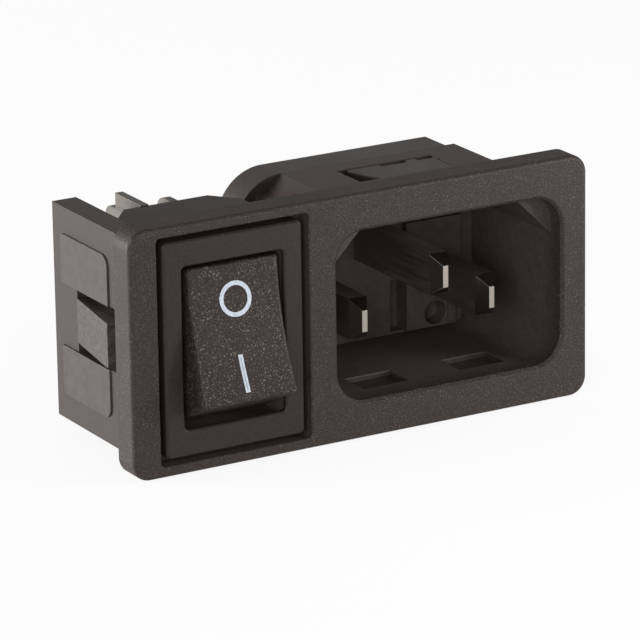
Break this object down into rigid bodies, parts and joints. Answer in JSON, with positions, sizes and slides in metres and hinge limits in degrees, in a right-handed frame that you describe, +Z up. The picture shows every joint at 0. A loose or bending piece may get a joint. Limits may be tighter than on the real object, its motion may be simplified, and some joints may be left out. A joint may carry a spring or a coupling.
{
  "type": "mains inlet with switch",
  "caption": "Snap-in panel power entry: a recessed male three-pin appliance inlet beside a double-pole rocker switch in one rectangular bezel.",
  "frame": {"origin": "centre of the bezel's outline on the plane of its back, where it meets the panel", "axes": "+X to the right seen from the front, along the long side; +Y backward, into the cabinet; +Z up, toward the earth pin"},
  "size_m": [0.049, 0.0302, 0.0238],
  "materials": {
    "housing": "fine-grained satin moulding, warm dark grey",
    "inlet_insert": "satin moulding, warm dark grey",
    "pin": "bright nickel plate",
    "switch_case": "smooth satin moulding",
    "rocker": "fine spark texture",
    "plunger": "natural acetal",
    "plunger_spring": "drawn spring wire",
    "contact_lever": "rolled copper alloy strip",
    "contact": "silver alloy rivet",
    "terminal": "tinned brass strip"
  },
  "bodies": {
    "frame": {"housing": "housing", "inlet_insert": "inlet_insert", "line_pin": "pin", "neutral_pin": "pin", "earth_pin": "pin", "switch_case": "switch_case", "fixed_contact_left": "contact", "fixed_contact_right": "contact", "switched_terminal_left": "terminal", "switched_terminal_right": "terminal", "common_terminal_left": "terminal", "common_terminal_right": "terminal"},
    "rocker_body": {"rocker": "rocker", "plunger_spring_left": "plunger_spring", "plunger_spring_right": "plunger_spring"},
    "plunger_body_left": {"plunger_left": "plunger"},
    "lever_body_left": {"contact_lever_left": "contact_lever", "moving_contact_left": "contact"},
    "plunger_body_right": {"plunger_right": "plunger"},
    "lever_body_right": {"contact_lever_right": "contact_lever", "moving_contact_right": "contact"}
  },
  "joints": [
    {"name": "rocker_turn", "type": "hinge", "parent": "frame", "child": "rocker_body", "pos_m": [-0.0137, 0.0002, 0], "axis": [1, 0, 0], "range_deg": [0, 32]},
    {"name": "plunger_slide_left", "type": "slide", "parent": "rocker_body", "child": "plunger_body_left", "axis": [0, 0.9613, -0.2756], "range_m": [-0.0006, 0], "stiffness_N_per_m": 500, "springref_m": 0.0015, "deforming": ["plunger_spring_left"]},
    {"name": "lever_rock_left", "type": "hinge", "parent": "frame", "child": "lever_body_left", "pos_m": [-0.0159, 0.00565, 0], "axis": [-1, 0, 0], "range_deg": [0, 16]},
    {"name": "plunger_slide_right", "type": "slide", "parent": "rocker_body", "child": "plunger_body_right", "axis": [0, 0.9613, -0.2756], "range_m": [-0.0006, 0], "stiffness_N_per_m": 500, "springref_m": 0.0015, "deforming": ["plunger_spring_right"]},
    {"name": "lever_rock_right", "type": "hinge", "parent": "frame", "child": "lever_body_right", "pos_m": [-0.0115, 0.00565, 0], "axis": [-1, 0, 0], "range_deg": [0, 16]}
  ],
  "couplings": [
    {"joint": "lever_rock_left", "follows": "rocker_turn", "ratio": 0.5},
    {"joint": "lever_rock_right", "follows": "rocker_turn", "ratio": 0.5}
  ]
}
